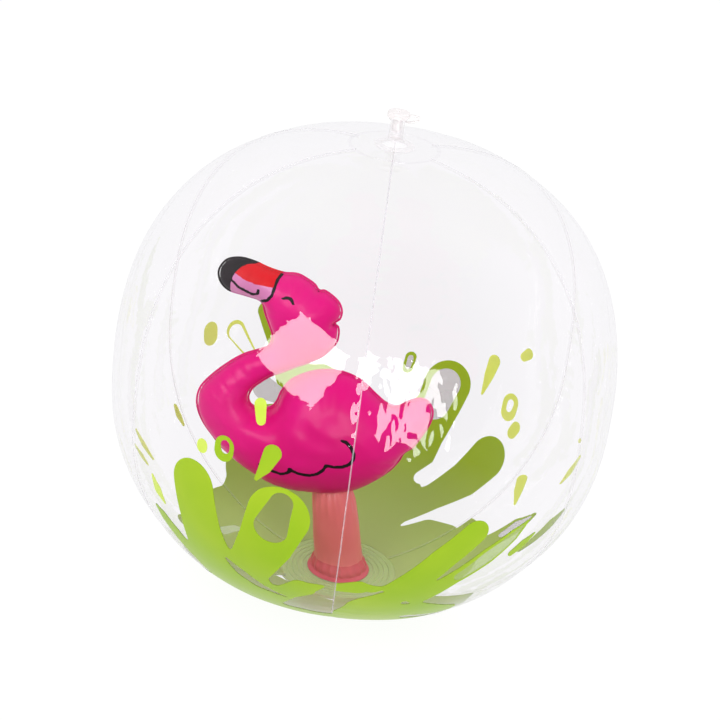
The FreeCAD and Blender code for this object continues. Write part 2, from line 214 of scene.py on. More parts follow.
class Patchwork:
    """A flat grid of cells that is cut into pieces along the zero lines of fields."""

    def __init__(self, x_range, y_range, step):
        self.xs = np.arange(x_range[0], x_range[1] + step, step)
        self.ys = np.arange(y_range[0], y_range[1] + step, step)
        columns, rows = len(self.xs), len(self.ys)
        gx, gy = np.meshgrid(self.xs, self.ys)
        self.points = np.stack([gx.ravel(), gy.ravel()], -1).tolist()
        self.cells = grid_faces(rows, columns)

    def arrays(self):
        flat = np.array(self.points)
        return flat[:, 0], flat[:, 1]

    def cut(self, polygons, field):
        """(polygons inside, polygons outside) of a field's zero line."""
        values = np.asarray(field(*self.arrays()), float)
        nudged = np.where(values < 0, -ON_LINE, ON_LINE)
        values = np.where(np.abs(values) < ON_LINE, nudged, values)
        values = values.tolist()
        made = {}
        inside, outside = [], []
        for polygon in polygons:
            signs = [values[i] > 0 for i in polygon]
            if all(signs):
                inside.append(polygon)
                continue
            if not any(signs):
                outside.append(polygon)
                continue
            halves = ([], [])
            for a, b in zip(polygon, polygon[1:] + polygon[:1]):
                halves[0 if values[a] > 0 else 1].append(a)
                if (values[a] > 0) == (values[b] > 0):
                    continue
                key = (min(a, b), max(a, b))
                if key not in made:
                    made[key] = self.crossing(key, values)
                halves[0].append(made[key])
                halves[1].append(made[key])
            for half, into in zip(halves, (inside, outside)):
                if len(half) > 2:
                    into.append(tuple(half))
        return inside, outside

    def crossing(self, key, values):
        a, b = key
        t = values[a] / (values[a] - values[b])
        (x0, y0), (x1, y1) = self.points[a], self.points[b]
        self.points.append([x0 + (x1 - x0) * t, y0 + (y1 - y0) * t])
        return len(self.points) - 1


def compact(points, polygons):
    """Keeps only the points in use, and numbers the polygons over again."""
    used = sorted({i for polygon in polygons for i in polygon})
    number = {old: new for new, old in enumerate(used)}
    return points[used], [tuple(number[i] for i in polygon) for polygon in polygons]


# ---------- materials
def shader_nodes(name):
    material = bpy.data.materials.new(name)
    material.use_nodes = True
    tree = material.node_tree
    tree.nodes.clear()
    output = tree.nodes.new("ShaderNodeOutputMaterial")
    return material, tree, output


def noise(tree, scale, detail=2.0, stretch=(1, 1, 1)):
    place = tree.nodes.new("ShaderNodeTexCoord")
    mapping = tree.nodes.new("ShaderNodeMapping")
    mapping.inputs["Scale"].default_value = stretch
    texture = tree.nodes.new("ShaderNodeTexNoise")
    texture.inputs["Scale"].default_value = scale
    texture.inputs["Detail"].default_value = detail
    tree.links.new(place.outputs["Object"], mapping.inputs["Vector"])
    tree.links.new(mapping.outputs["Vector"], texture.inputs["Vector"])
    return texture.outputs["Fac"]


def ramp(tree, fac, first, second, low=0.3, high=0.7):
    node = tree.nodes.new("ShaderNodeValToRGB")
    node.color_ramp.elements[0].position = low
    node.color_ramp.elements[0].color = (*first, 1)
    node.color_ramp.elements[1].position = high
    node.color_ramp.elements[1].color = (*second, 1)
    tree.links.new(fac, node.inputs["Fac"])
    return node.outputs["Color"]


def bump(tree, height, strength, distance, under=None):
    """Relief from a height, laid over the relief under it."""
    node = tree.nodes.new("ShaderNodeBump")
    node.inputs["Distance"].default_value = distance
    if isinstance(strength, float):
        node.inputs["Strength"].default_value = strength
    else:
        tree.links.new(strength, node.inputs["Strength"])
    if under is not None:
        tree.links.new(under, node.inputs["Normal"])
    tree.links.new(height, node.inputs["Height"])
    return node.outputs["Normal"]


def by_place(tree, axis, low, high):
    """0 where the object's own axis reads low, 1 where it reads high, in metres."""
    place = tree.nodes.new("ShaderNodeTexCoord")
    parts = tree.nodes.new("ShaderNodeSeparateXYZ")
    share = tree.nodes.new("ShaderNodeMapRange")
    share.inputs["From Min"].default_value = low
    share.inputs["From Max"].default_value = high
    tree.links.new(place.outputs["Object"], parts.inputs[0])
    tree.links.new(parts.outputs[axis], share.inputs["Value"])
    return share.outputs[0]


def linear(r, g, b):
    """Linear colour of a display colour given from 0 to 255."""
    return tuple(((c / 255 + 0.055) / 1.055) ** 2.4 if c > 10 else c / 255 / 12.92
                 for c in (r, g, b))


GRAZING_POWER = 5.0


def gloss_share(tree, head_on):
    """How much a film mirrors: head_on where it faces the eye, more where it slopes away."""
    layer = tree.nodes.new("ShaderNodeLayerWeight")
    layer.inputs["Blend"].default_value = 0.5
    power = tree.nodes.new("ShaderNodeMath")
    power.operation = "POWER"
    power.inputs[1].default_value = GRAZING_POWER
    tree.links.new(layer.outputs["Facing"], power.inputs[0])
    share = tree.nodes.new("ShaderNodeMath")
    share.operation = "MULTIPLY_ADD"
    share.inputs[1].default_value = 1.0 - head_on
    share.inputs[2].default_value = head_on
    tree.links.new(power.outputs[0], share.inputs[0])
    return share.outputs[0]


def mixed(tree, fac, first, second):
    node = tree.nodes.new("ShaderNodeMixShader")
    if isinstance(fac, float):
        node.inputs["Fac"].default_value = fac
    else:
        tree.links.new(fac, node.inputs["Fac"])
    tree.links.new(first, node.inputs[1])
    tree.links.new(second, node.inputs[2])
    return node.outputs[0]


FILM_WAVE = 0.25
CRINKLE_PLACE = (0.033, -0.154, 0.200)
CRINKLE_REACH = 0.042


def crinkle_share(tree):
    """How strongly the film is crinkled: a small patch beside the front seam, none elsewhere."""
    place = tree.nodes.new("ShaderNodeTexCoord")
    gap = tree.nodes.new("ShaderNodeVectorMath")
    gap.operation = "DISTANCE"
    gap.inputs[1].default_value = CRINKLE_PLACE
    tree.links.new(place.outputs["Object"], gap.inputs[0])
    share = tree.nodes.new("ShaderNodeMapRange")
    share.inputs["From Min"].default_value = 0.0
    share.inputs["From Max"].default_value = CRINKLE_REACH
    share.inputs["To Min"].default_value = 1.0
    share.inputs["To Max"].default_value = 0.0
    tree.links.new(gap.outputs["Value"], share.inputs["Value"])
    return share.outputs[0]


def film_material(name, tint_low, tint_high, head_on, rough=0.02):
    """Thin clear vinyl: see-through, mirrors its surroundings a little, with a faint unevenness."""
    material, tree, output = shader_nodes(name)
    clear = tree.nodes.new("ShaderNodeBsdfTransparent")
    tint = ramp(tree, noise(tree, scale=9.0), tint_low, tint_high)
    tree.links.new(tint, clear.inputs["Color"])
    gloss = tree.nodes.new("ShaderNodeBsdfGlossy")
    gloss.inputs["Roughness"].default_value = rough
    gloss.inputs["Color"].default_value = (1, 1, 1, 1)
    slow_noise = noise(tree, scale=26.0, detail=3.0)
    slow = bump(tree, slow_noise, FILM_WAVE, distance=0.002)
    fine_noise = noise(tree, scale=150.0, detail=2.0)
    fine = bump(tree, fine_noise, FILM_WAVE, distance=0.0003, under=slow)
    crinkle_noise = noise(tree, scale=120.0, detail=1.0, stretch=(1, 1, 0.5))
    normal = bump(tree, crinkle_noise, crinkle_share(tree), distance=0.0032, under=fine)
    tree.links.new(normal, gloss.inputs["Normal"])
    surface = mixed(tree, gloss_share(tree, head_on), clear.outputs[0], gloss.outputs[0])
    tree.links.new(surface, output.inputs["Surface"])
    return material


def vinyl(name, first, second, rough=0.22, scale=40.0, opacity=1.0, glow=0.0, relief=0.15,
          coat=0.12, gloss=0.18, heights=None):
    """Printed or coloured vinyl: two colours in a soft noise, or from one of two heights to the
    other, with a fine relief and a gloss. Some light comes through where it has a glow."""
    material, tree, output = shader_nodes(name)
    body = tree.nodes.new("ShaderNodeBsdfPrincipled")
    body.inputs["Roughness"].default_value = rough
    body.inputs["Specular IOR Level"].default_value = gloss
    body.inputs["Coat Weight"].default_value = coat
    body.inputs["Coat Roughness"].default_value = 0.08
    if heights:
        colour = ramp(tree, by_place(tree, "Z", *heights), first, second, 0.0, 1.0)
    else:
        colour = ramp(tree, noise(tree, scale), first, second)
    tree.links.new(colour, body.inputs["Base Color"])
    fine = bump(tree, noise(tree, scale * 5, detail=3.0), relief, distance=0.0006)
    tree.links.new(fine, body.inputs["Normal"])
    surface = body.outputs[0]
    if glow:
        through = tree.nodes.new("ShaderNodeBsdfTranslucent")
        tree.links.new(colour, through.inputs["Color"])
        surface = mixed(tree, glow, surface, through.outputs[0])
    if opacity < 1:
        clear = tree.nodes.new("ShaderNodeBsdfTransparent")
        clear.inputs["Color"].default_value = (1, 1, 1, 1)
        surface = mixed(tree, opacity, clear.outputs[0], surface)
    tree.links.new(surface, output.inputs["Surface"])
    return material


CLEAR = film_material(
    "clear_film", (0.963, 0.956, 0.967), (0.977, 0.970, 0.981),
    head_on=0.05)
PATCH = film_material(
    "clear_patch", (0.978, 0.974, 0.98), (0.988, 0.985, 0.989),
    head_on=0.04, rough=0.06)
FIN = vinyl(
    "weld_fin", linear(226, 224, 228), linear(242, 240, 244),
    rough=0.5, scale=200.0, opacity=0.08)
WELD = vinyl(
    "weld", linear(212, 209, 216), linear(234, 231, 237),
    rough=0.35, scale=300.0, opacity=0.36, relief=0.02)
GREEN = vinyl(
    "ink_green", linear(156, 194, 32), linear(170, 201, 40),
    rough=0.3, scale=24.0, glow=0.12)
GREEN_BACK = vinyl(
    "ink_green_back", linear(186, 206, 122), linear(163, 191, 34),
    rough=0.35, scale=16.0, glow=0.2, heights=(0.0, 0.046))
LIME = vinyl(
    "ink_lime", linear(198, 224, 70), linear(212, 232, 100),
    rough=0.35, scale=30.0, opacity=0.9)
# Back of the lime ink: partly the ink's own colour, and partly painted light, since its colour is
# raised near white to stand in for light that the inside of the print lacks.
LIME_BACK_WITH_PAINTED_LIGHT = vinyl(
    "ink_lime_back_with_painted_light", linear(246, 254, 112), linear(252, 255, 138),
    rough=0.4, scale=30.0, opacity=0.78, glow=0.3)
GREY = vinyl(
    "ink_grey", linear(176, 174, 172), linear(190, 188, 186),
    rough=0.35, scale=20.0, opacity=0.42)
PALE = vinyl(
    "ink_pale", linear(170, 196, 104), linear(186, 206, 128),
    rough=0.35, scale=20.0, opacity=0.55)
WHITE_VINYL = vinyl(
    "valve_vinyl", linear(240, 234, 234), linear(250, 246, 246),
    rough=0.3, scale=90.0, opacity=0.6)
CLEAR_VINYL = vinyl(
    "valve_clear", linear(238, 234, 237), linear(250, 248, 250),
    rough=0.12, scale=90.0, opacity=0.26, coat=0.8)
SOFT_WEB = vinyl(
    "valve_web", linear(232, 229, 233), linear(248, 246, 249),
    rough=0.12, scale=120.0, opacity=0.22, coat=0.8)
PINK = vinyl(
    "bird_pink", linear(217, 5, 114), linear(227, 13, 128),
    rough=0.32, scale=22.0, coat=0.05, gloss=0.1)
PINK_DEEP = vinyl(
    "bird_weld", linear(212, 10, 112), linear(222, 22, 122),
    rough=0.35, scale=60.0)
BLACK_INK = vinyl(
    "bird_black", linear(14, 7, 11), linear(32, 18, 26),
    rough=0.45, scale=60.0, coat=0.02, gloss=0.05)
RED_INK = vinyl(
    "bird_red", linear(206, 1, 16), linear(222, 6, 26),
    rough=0.45, scale=30.0, coat=0.02, gloss=0.05)
ROSE_INK = vinyl(
    "bird_rose", linear(205, 118, 172), linear(216, 136, 186),
    rough=0.3, scale=30.0)
CORAL = vinyl(
    "leg_coral", linear(230, 112, 118), linear(240, 128, 132),
    rough=0.35, scale=26.0)
CORAL_RIM = vinyl(
    "leg_rim", linear(214, 84, 98), linear(224, 98, 108),
    rough=0.35, scale=40.0)
DISC = vinyl(
    "base_disc_print", linear(166, 192, 84), linear(184, 204, 110),
    rough=0.3, scale=14.0, opacity=0.68)


# ---------- panels
FILM_ROWS = 240
FILM_COLUMNS = 26
SEAM_CROWDING = 0.6


def make_panel(name, azimuth):
    """One gore of film, with its puckers."""
    lats = np.linspace(LOW_END, HIGH_END, FILM_ROWS)
    even = np.linspace(-1, 1, FILM_COLUMNS)
    share = np.sin(even * math.pi / 2) * SEAM_CROWDING + even * (1 - SEAM_CROWDING)
    lat, turn = np.meshgrid(lats, share * HALF_PANEL, indexing="ij")
    points = film_at(lat, turn, azimuth).reshape(-1, 3)
    panel = make_mesh("film_" + name, points, grid_faces(FILM_ROWS, FILM_COLUMNS), [CLEAR])
    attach(panel, "ball")
    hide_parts("panel_" + name)


for panel_name, panel_azimuth in PANELS.items():
    make_panel(panel_name, panel_azimuth)

# ---------- print on the panels
# Each panel: strokes of (mm across, mm along from the equator, radius). "holes", "grey" and
# "pale" are cut from the green, and the last two are filled. "lime" marks stand alone, with
# "lime_holes" cut from them.
POOL = [(-70, -182, 44), (0, -190, 58), (70, -182, 44)]
PRINTS = {
    "front_left": {
        "green": [
            [(-14, -14.5, 16.5), (-9.5, -40, 16.5), (-3, -78, 19.5), (4, -105, 26)],
            [(46, -16, 20), (38, -38, 17.5), (23, -68, 13.5), (14, -98, 22)],
            [(26, -97, 15), (45, -85, 7.5), (57, -75, 8.5), (71, -69.5, 1.5)],
            [(-54, -54, 2), (-47, -58.5, 5.5), (-36, -67, 6.6), (-20, -84, 7), (-8, -98, 12)],
            [(6.9, 15.8, 7), (6.9, 19, 7)],
            [(38, 24, 6), (34.8, 14, 4.3), (29.8, 4.5, 1.2)],
            [(-60, -150, 34), (0, -160, 52), (40, -158, 44), (70, -150, 34)],
        ],
        "holes": [
            [(47.5, -7, 7.5), (41.5, -26, 11)],
            [(7.8, 17.5, 3.1), (7.4, 20, 3.3)],
            [(8, -66, 1.6), (16, -76, 4.6), (26, -86, 4.2), (43, -94, 0.7)],
            [(58, -96, 6), (74, -86, 6.5), (82, -80, 5)],
        ],
        "lime": [
            [(-9, 12.5, 4), (-9, 14, 4)],
            [(-53.5, -28.4, 1.5), (-48, -36.4, 4.6), (-41, -44, 1)],
            [(25, 51.5, 3.8), (27.4, 42, 3)],
        ],
    },
    "front_right": {
        "pale": [
            [(34, -20, 0.8), (26.5, -27, 3.8), (11, -40, 5.6), (-4, -54, 4)],
        ],
        "green": [
            [(-3.5, -18, 9.5), (-20, -36, 10.5), (-38, -62, 11), (-52, -90, 14), (-45, -120, 24)],
            [(-80, -69, 4.5), (-66, -66, 7), (-54, -64.8, 2)],
            [(31, -42, 3.0), (39, -36.5, 3.9), (48, -31, 1.2)],
            [(37, -18, 1.5), (27, -26, 5.5), (11, -39, 8), (-8, -56, 7), (-24, -74, 8)],
            [(-48, -104, 18), (-20, -95, 12), (4, -104, 10)],
            [(-70, -150, 38), (-20, -165, 48), (30, -175, 46), (70, -168, 34)],
        ],
        "holes": [[(-75, -79, 1.2), (-62, -77, 2.2), (-50, -68, 1.4)]],
    },
    "right": {
        "green": [
            [(1.5, -75, 1.5), (0.2, -88, 5.5), (-4, -103, 4.5), (-8, -116, 2)],
            [(26, -99, 2), (26, -114, 8), (23, -134, 8.5), (20, -160, 12)],
            [(-30, -196, 30), (10, -190, 40), (50, -172, 36)],
        ],
        "grey": [[(26.5, -102, 1), (26.5, -114, 4.8), (24.5, -127, 3)]],
        "lime": [
            [(67, -90.5, 4.3), (60, -98, 3.6), (49, -107.4, 0.8)],
            [(43.6, -39, 2)],
            [(33, -46, 1.2), (33, -60, 3), (33, -71, 1)],
        ],
    },
    "rear_right": {
        "green": [
            [(-38, -95, 17), (-30, -116, 15.5), (-14, -142, 12), (4, -168, 13), (12, -190, 14)],
            [(17, -57, 18.5), (18, -73, 17.5), (26, -102, 23), (27, -138, 26), (26, -175, 24),
             (10, -206, 18)],
            [(50, -44, 4.6), (50, -52, 4.4)],
            [(-52, -166, 15), (-33, -174, 16), (-14, -202, 18)],
        ],
        "holes": [[(-8, -97, 8), (-7.5, -110, 5.2), (-1, -121, 5.6), (3.8, -131, 6.2)]],
        "grey": [
            [(18.5, -57, 11.8), (20, -75, 10.5)],
            [(50, -44.5, 2.3), (50, -51.5, 2.1)],
        ],
        "lime": [
            [(-14, -28.5, 5), (-12.6, -40, 4), (-11.5, -54.5, 1)],
            [(-38.4, -15.5, 3.4), (-42.4, -11.5, 4.2)],
            [(-38.6, -57, 7.2), (-38, -51.5, 7.4)],
            [(-49, -69, 4.6), (-50.4, -65, 4.8)],
        ],
        "lime_holes": [[(-38, -55, 2.9), (-38, -51.5, 3.2)]],
    },
    "rear_left": {
        "green": [
            [(-6.5, -17, 7.5), (-19, -42, 11), (-26, -68, 14)],
            [(-24, -67, 7), (-50, -64, 6.5), (-71, -71.5, 5)],
            [(-40, -128, 40), (0, -124, 37), (22, -138, 28), (36, -150, 22)],
            [(-75, -108, 20), (-78, -150, 30)],
            POOL,
        ],
        "grey": [[(-2, -75, 9), (-14, -82, 6.5)]],
        "lime": [
            [(41, -31, 6.4), (41, -26, 6.4)],
            [(18.5, -30, 7.8), (6, -49, 4.6)],
        ],
        "lime_holes": [[(18.3, -31.2, 6), (7, -47.5, 3.4)]],
    },
    "left": {
        "green": [
            [(50, -140, 8), (48, -170, 26)],
            [(12, -132, 6), (8, -156, 10), (6, -175, 18)],
            [(-44, -150, 12), (-38, -170, 20)],
            POOL,
        ],
        "pale": [[(-8, -164, 4.5), (-20, -171, 3.6)]],
        "lime": [
            [(-74.5, -69, 1.5), (-73, -77, 2.6), (-72, -85, 1)],
            [(-20, -66, 1.2), (-20, -78, 2.8), (-20, -91, 1.2)],
            [(-8, -72, 1), (-9, -82, 2.4), (-9, -90, 1)],
        ],
    },
}
INK_LIFT = 0.14
INK_STEP = 1.5
EDGE_GAP = 0.35
PRINT_ACROSS = (-88, 88)
PRINT_ALONG = (-214, 66)
GREEN_FILLET = 2.0
HOLE_FILLET = 0.6
LIME_FILLET = 0.4
FILL_GROWTH = 0.1
FRONT_INKS = {"green": GREEN, "grey": GREY, "lime": LIME, "pale": PALE}
BACK_INKS = {"green": GREEN_BACK, "grey": GREY, "lime": LIME_BACK_WITH_PAINTED_LIGHT, "pale": PALE}


def panel_room(x, y):
    """Field that is positive on the panel, clear of its seams and ends."""
    lat = y / RADIUS
    half_width = RADIUS * np.cos(lat) * HALF_PANEL - EDGE_GAP
    ends = np.minimum(lat - LOW_END, HIGH_END - lat) * RADIUS
    return np.minimum(half_width - np.abs(x), ends)


def green_field(art, x, y):
    """Field of a panel's green ink: positive inside."""
    cuts = [hole for kind in ("holes", "grey", "pale") for hole in art.get(kind, [])]
    return np.minimum(joined(art["green"], x, y, GREEN_FILLET), -joined(cuts, x, y, HOLE_FILLET))


def lime_field(art, x, y):
    """Field of a panel's lime marks: positive inside."""
    holes = joined(art.get("lime_holes", []), x, y, LIME_FILLET)
    return np.minimum(joined(art["lime"], x, y, LIME_FILLET), -holes)


def make_print(name, azimuth, art):
    """The ink of one panel: a layer outside, and the duller back of it inside; the lime of the back
    is brightened with painted light.
    """
    patch = Patchwork(PRINT_ACROSS, PRINT_ALONG, INK_STEP)
    room, _ = patch.cut(patch.cells, panel_room)
    green_cells, rest = patch.cut(room, lambda x, y: green_field(art, x, y))
    zones = [(green_cells, "green")]
    for fill in ("grey", "pale"):
        if fill in art:
            cells, rest = patch.cut(
                rest, lambda x, y: joined(art[fill], x, y, HOLE_FILLET) + FILL_GROWTH)
            zones.append((cells, fill))
    if "lime" in art:
        lime_cells, _ = patch.cut(rest, lambda x, y: lime_field(art, x, y))
        zones.append((lime_cells, "lime"))
    x, y = patch.arrays()
    lat = y / RADIUS
    turn = x / (RADIUS * np.cos(lat))
    ink_names = list(FRONT_INKS)
    points, faces, indices = [], [], []
    for side, lift in ((0, INK_LIFT), (1, -INK_LIFT)):
        placed = film_at(lat, turn, azimuth, lift)
        for cells, ink_name in zones:
            kept, numbered = compact(placed, cells)
            start = len(points)
            points.extend(kept.tolist())
            for cell in numbered:
                face = [start + i for i in cell]
                faces.append(tuple(reversed(face)) if side else tuple(face))
            number = ink_names.index(ink_name) + len(ink_names) * side
            indices.extend([number] * len(numbered))
    inks = [*FRONT_INKS.values(), *BACK_INKS.values()]
    ink = make_mesh("print_" + name, points, faces, inks, indices)
    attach(ink, "ball")


for panel_name, panel_azimuth in PANELS.items():
    make_print(panel_name, panel_azimuth, PRINTS[panel_name])

# ---------- welds between the panels
WELD_ROWS = 260
WELD_PROFILE = [
    (-0.42, 0.04), (-0.25, 0.18), (0.0, 0.24), (0.25, 0.18), (0.42, 0.04),
    (0.2, -0.15), (0.18, -1.8), (-0.18, -1.8), (-0.2, -0.15),
]
WELD_BEAD_SIDES = 4
WELD_INKS = [WELD, GREEN, FIN]
BEAD_WANDER = 0.3
FIN_WANDER = 1.5


def print_crosses(lats, azimuth):
    """Where the green of both neighbouring panels reaches a seam, by row."""
    across = RADIUS * np.cos(lats) * HALF_PANEL - EDGE_GAP
    both = np.full(lats.shape, True)
    for name, middle in PANELS.items():
        side = (azimuth - middle + 180) % 360 - 180
        if abs(side) == HALF_PANEL_DEGREES:
            edge = math.copysign(1, side) * across
            both &= green_field(PRINTS[name], edge, RADIUS * lats) > 0
    return both


def make_weld(name, azimuth):
    """A seam: a flat bead outside and a fin inside, cut a little wavy."""
    lats = np.linspace(LOW_END, HIGH_END, WELD_ROWS)
    turn = np.full_like(lats, HALF_PANEL)
    middle = smooth_point(lats, turn)
    radius = np.hypot(middle[:, 0], middle[:, 1])
    normal = skin_normal(lats, turn)
    lean = np.hypot(normal[:, 0], normal[:, 1])
    a = math.radians(azimuth)
    outward = np.array([math.sin(a), -math.cos(a), 0])
    sideways = np.array([math.cos(a), math.sin(a), 0])
    rows = []
    for i, lat in enumerate(lats):
        wander = 0.12 * math.sin(RADIUS * lat / 7.0) + 0.05 * math.sin(RADIUS * lat / 2.9)
        for across, proud in WELD_PROFILE:
            fin = proud < -1
            base = outward * (radius[i] + lean[i] * proud)
            base = base + sideways * (across + wander * (FIN_WANDER if fin else BEAD_WANDER))
            height = max(middle[i, 2] + normal[i, 2] * proud, PANEL_FOOT)
            rows.append((base[0] * MM, base[1] * MM, height * MM))
    count = len(WELD_PROFILE)
    faces = grid_faces(WELD_ROWS, count, closed=True)
    indices = []
    crosses = print_crosses(lats, azimuth)
    for k in range(len(faces)):
        ink = FIN
        if k % count < WELD_BEAD_SIDES:
            ink = GREEN if crosses[k // count] else WELD
        indices.append(WELD_INKS.index(ink))
    weld = make_mesh("weld_" + name, rows, faces, WELD_INKS, indices)
    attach(weld, "ball")
    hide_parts(name)


for seam_name, seam_azimuth in SEAMS.items():
    make_weld(seam_name, seam_azimuth)

# ---------- flamingo
# Outlines are (x, z) in millimetres in the weld plane.
BIRD_OUTLINE = [
    (-60, 214), (-70, 216), (-79, 219), (-89, 220.4), (-98, 217.5), (-102.6, 209.5), (-101.3, 202),
    (-97, 197), (-92, 194.8), (-82, 193.2), (-73, 190.8), (-70, 183.4), (-66, 174.5), (-63.5, 168),
    (-65, 161), (-71, 157.4), (-80, 153), (-89, 146), (-99, 136), (-107, 125), (-109, 115),
    (-107.2, 106), (-102.5, 97), (-96, 89), (-89, 81), (-81, 74.7), (-73, 69.4), (-63.4, 64.4),
    (-55, 60.4), (-45.6, 57.9), (-34, 57.2), (-22, 57.6), (-9, 59), (5, 63.4), (15.4, 70),
    (25.6, 79.4), (31.7, 88.6), (34, 94.6), (39.5, 100), (44.6, 110), (48.6, 119.4), (49.4, 128),
    (46, 135), (40, 137.6), (33, 135.4), (27, 131), (20.4, 129), (10.6, 136), (2, 143),
    (-5.2, 147), (-12, 149), (-21, 149.5), (-29.6, 148.2), (-38, 145), (-46.5, 139.5),
    (-51, 134), (-54, 127.6), (-55.8, 121.2), (-59.5, 116), (-65, 114.2), (-70.6, 115.6),
    (-73.6, 121), (-71.8, 127.5), (-66.8, 133), (-60.5, 138.4), (-53, 142.6), (-45, 147.4),
    (-36.6, 151.8), (-28.4, 157.3), (-22.6, 164.5), (-19.6, 170), (-19.2, 176.5), (-20.4, 181.2),
    (-23, 182.6), (-19.6, 186), (-19, 192), (-21.6, 198), (-27, 202.6), (-32.4, 205.4),
    (-35.8, 205), (-39, 208.8), (-46.6, 213), (-52, 214.5),
]
BEAK_ZONE = [
    (-60, 215), (-63.2, 206.8), (-64.2, 200.8), (-65.5, 195.3), (-68.2, 191.6), (-72.5, 190),
    (-80, 180), (-120, 190), (-120, 230), (-62, 226),
]
BLACK_ZONE = [
    (-74, 219), (-83.6, 215.5), (-87.6, 212.6), (-90.5, 209), (-92.1, 205), (-93, 200),
    (-92.5, 190), (-120, 190), (-120, 230), (-74, 230),
]
RED_ZONE = [
    (-91.3, 208.2), (-84.7, 204.3), (-76.8, 201.9), (-63, 201), (-55, 201), (-58, 232),
    (-74, 226), (-100, 226),
]
BLACK_LINES = [
    [(-60.2, 214, 0.55), (-63.2, 206.8, 0.6), (-64.4, 200.8, 0.6), (-65.5, 195.3, 0.6),
     (-68.2, 191.8, 0.6), (-71.9, 191, 0.5)],
    [(-92.7, 203.1, 0.35), (-88.5, 199, 0.45), (-82.8, 196.3, 0.45), (-77.8, 194.8, 0.4),
     (-74.6, 195.4, 0.4), (-74.7, 198.7, 0.3)],
    [(-58.4, 194, 0.5), (-55.5, 195.5, 0.65), (-52.7, 194.8, 0.65), (-51.1, 191.8, 0.5)],
    [(-8.9, 98.9, 0.6), (-5.6, 98.2, 0.75), (-2.0, 94.7, 0.8), (0.4, 90.3, 0.8),
     (0.6, 86.4, 0.8), (-1.6, 82.4, 0.75), (-6.1, 79.9, 0.7), (-11.6, 78.7, 0.65),
     (-16.8, 79.3, 0.6)],
    [(-16.8, 79.3, 0.6), (-18.4, 75.4, 0.65), (-22, 72.2, 0.65), (-26.6, 70.5, 0.65),
     (-31, 70, 0.65), (-34.5, 70.4, 0.65), (-38, 71.6, 0.65), (-40.5, 73.4, 0.6)],
    [(-40.5, 73.4, 0.6), (-41, 70, 0.6), (-45.6, 68.2, 0.55), (-51.3, 69.2, 0.55),
     (-56.5, 71, 0.55), (-61.4, 73.4, 0.45)],
]
PINK_KIND, BLACK_KIND, RED_KIND, ROSE_KIND = range(4)
BIRD_STEP = 1.25
BIRD_ACROSS = (-114, 54)
BIRD_ALONG = (52, 226)
FIRST_GUESS = 8.0
SHORTEST_ARM = 0.08
RELAXATION = 1.9
BATCH = 4000
ON_EDGE = 0.03
PLUMPNESS = 1.5
RIM_WIDTH = 1.3
RIM_THICK = 0.25
PRINT_RISE = 0.47
LINE_EXTRA = 0.42
LINE_FILLET = 0.1
BIRD_PUCKER = 1.3
BIRD_PUCKER_LENGTH = 8.3
BIRD_PUCKER_REACH = 7.0
BIRD_PUCKER_START = 1.5
CREASE = 0.26
CREASE_FROM = 12.0


def rounded(outline, pieces=5):
    """Closed Catmull-Rom curve through an outline."""
    points = np.array(outline, float)
    before, after, beyond = np.roll(points, 1, 0), np.roll(points, -1, 0), np.roll(points, -2, 0)
    made = []
    for t in np.linspace(0, 1, pieces, endpoint=False):
        made.append(0.5 * (2 * points + (after - before) * t
                           + (2 * before - 5 * points + 4 * after - beyond) * t**2
                           + (3 * points - before - 3 * after + beyond) * t**3))
    return np.stack(made, 1).reshape(-1, 2)


BIRD_EDGE = rounded(BIRD_OUTLINE)


def bird_field(x, z):
    return outline_field(BIRD_EDGE, x, z) - RIM_WIDTH


def membrane(distance, step, rounds=900):
    """Solves laplacian(u) = -1 inside the outline with u = 0 on it, on the grid's nodes."""
    inside = distance > 0
    u = np.where(inside, distance * FIRST_GUESS, 0.0)
    arms, shares = [], []
    for axis, shift in ((0, 1), (0, -1), (1, 1), (1, -1)):
        other = np.roll(distance, -shift, axis)
        share = np.where(other > 0, 1.0, distance / np.maximum(distance - other, 1e-6))
        arms.append((axis, shift, other > 0))
        shares.append(np.clip(share, SHORTEST_ARM, 1.0) * step)
    weights = []
    for k in range(4):
        pair = shares[k] + shares[k ^ 1]
        weights.append(2.0 / (pair * shares[k]))
    total = sum(weights)
    rows, columns = np.indices(distance.shape)
    colour = (rows + columns) % 2 == 0
    for _ in range(rounds):
        for phase in (colour, ~colour):
            near = sum(w * np.where(live, np.roll(u, -shift, axis), 0.0)
                       for w, (axis, shift, live) in zip(weights, arms))
            fresh = (near + 1.0) / total
            u = np.where(phase & inside, u + RELAXATION * (fresh - u), u)
    return np.maximum(u, 0.0)


def along_outline(x, z):
    """Length along the outline of its nearest point, in millimetres."""
    points = BIRD_EDGE
    steps = np.hypot(*(np.roll(points, -1, 0) - points).T)
    run = np.concatenate([[0], np.cumsum(steps)[:-1]])
    index = np.empty(len(x), int)
    for i in range(0, len(x), BATCH):
        gap = np.hypot(x[i:i + BATCH, None] - points[:, 0], z[i:i + BATCH, None] - points[:, 1])
        index[i:i + BATCH] = gap.argmin(1)
    return run[index]


def bulge_over(patch, flat):
    """A function for half the bird's thickness, by straight interpolation on the grid."""
    def bulge(x, z):
        gx = (x - patch.xs[0]) / BIRD_STEP
        gz = (z - patch.ys[0]) / BIRD_STEP
        i = np.clip(gz.astype(int), 0, flat.shape[0] - 2)
        j = np.clip(gx.astype(int), 0, flat.shape[1] - 2)
        fx, fz = gx - j, gz - i
        value = (flat[i, j] * (1 - fx) * (1 - fz) + flat[i, j + 1] * fx * (1 - fz)
                 + flat[i + 1, j] * (1 - fx) * fz + flat[i + 1, j + 1] * fx * fz)
        value = np.where(np.abs(bird_field(x, z)) < ON_EDGE, 0.0, value)
        return np.sqrt(PLUMPNESS * value)

    return bulge


